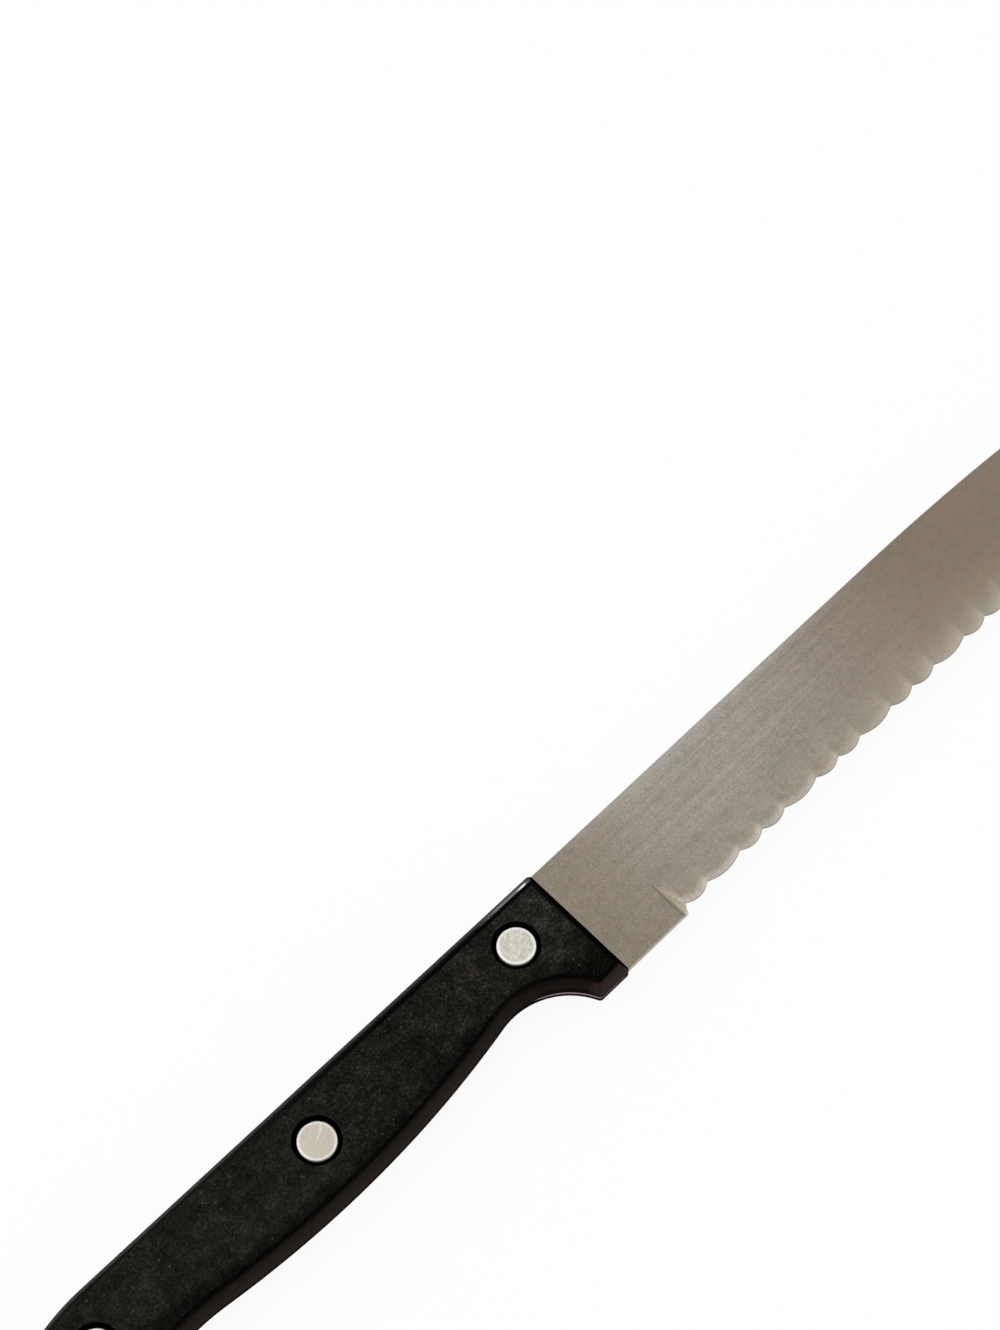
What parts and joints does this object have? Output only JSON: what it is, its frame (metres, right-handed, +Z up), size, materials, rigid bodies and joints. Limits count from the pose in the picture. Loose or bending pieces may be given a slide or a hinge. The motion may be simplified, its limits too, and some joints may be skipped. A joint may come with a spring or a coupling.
{
  "type": "slicing knife",
  "caption": "Kitchen slicing knife with a one-sided scalloped grind, a full tang and drafted black handle scales held by flush rivets.",
  "frame": {"origin": "on the surface that the knife lies on, under the middle of its bounding box", "axes": "+X runs along the knife to the tip, +Y across it from the edge to the spine, +Z up out of the ground right face"},
  "size_m": [0.31, 0.023, 0.0099],
  "materials": {
    "blade_steel": "stainless sheet, brushed lengthwise, with a cross-ground bevel",
    "handle_plastic": "black moulded plastic, dull and finely scuffed on the faces, smoother on the walls",
    "rivet_metal": "pale satin metal with a bright rim"
  },
  "bodies": {
    "root": {"blade": "blade_steel", "right_scale": "handle_plastic", "left_scale": "handle_plastic", "front_rivet_sleeve": "rivet_metal", "front_rivet_pin": "rivet_metal", "middle_rivet_sleeve": "rivet_metal", "middle_rivet_pin": "rivet_metal", "rear_rivet_sleeve": "rivet_metal", "rear_rivet_pin": "rivet_metal"}
  },
  "joints": []
}
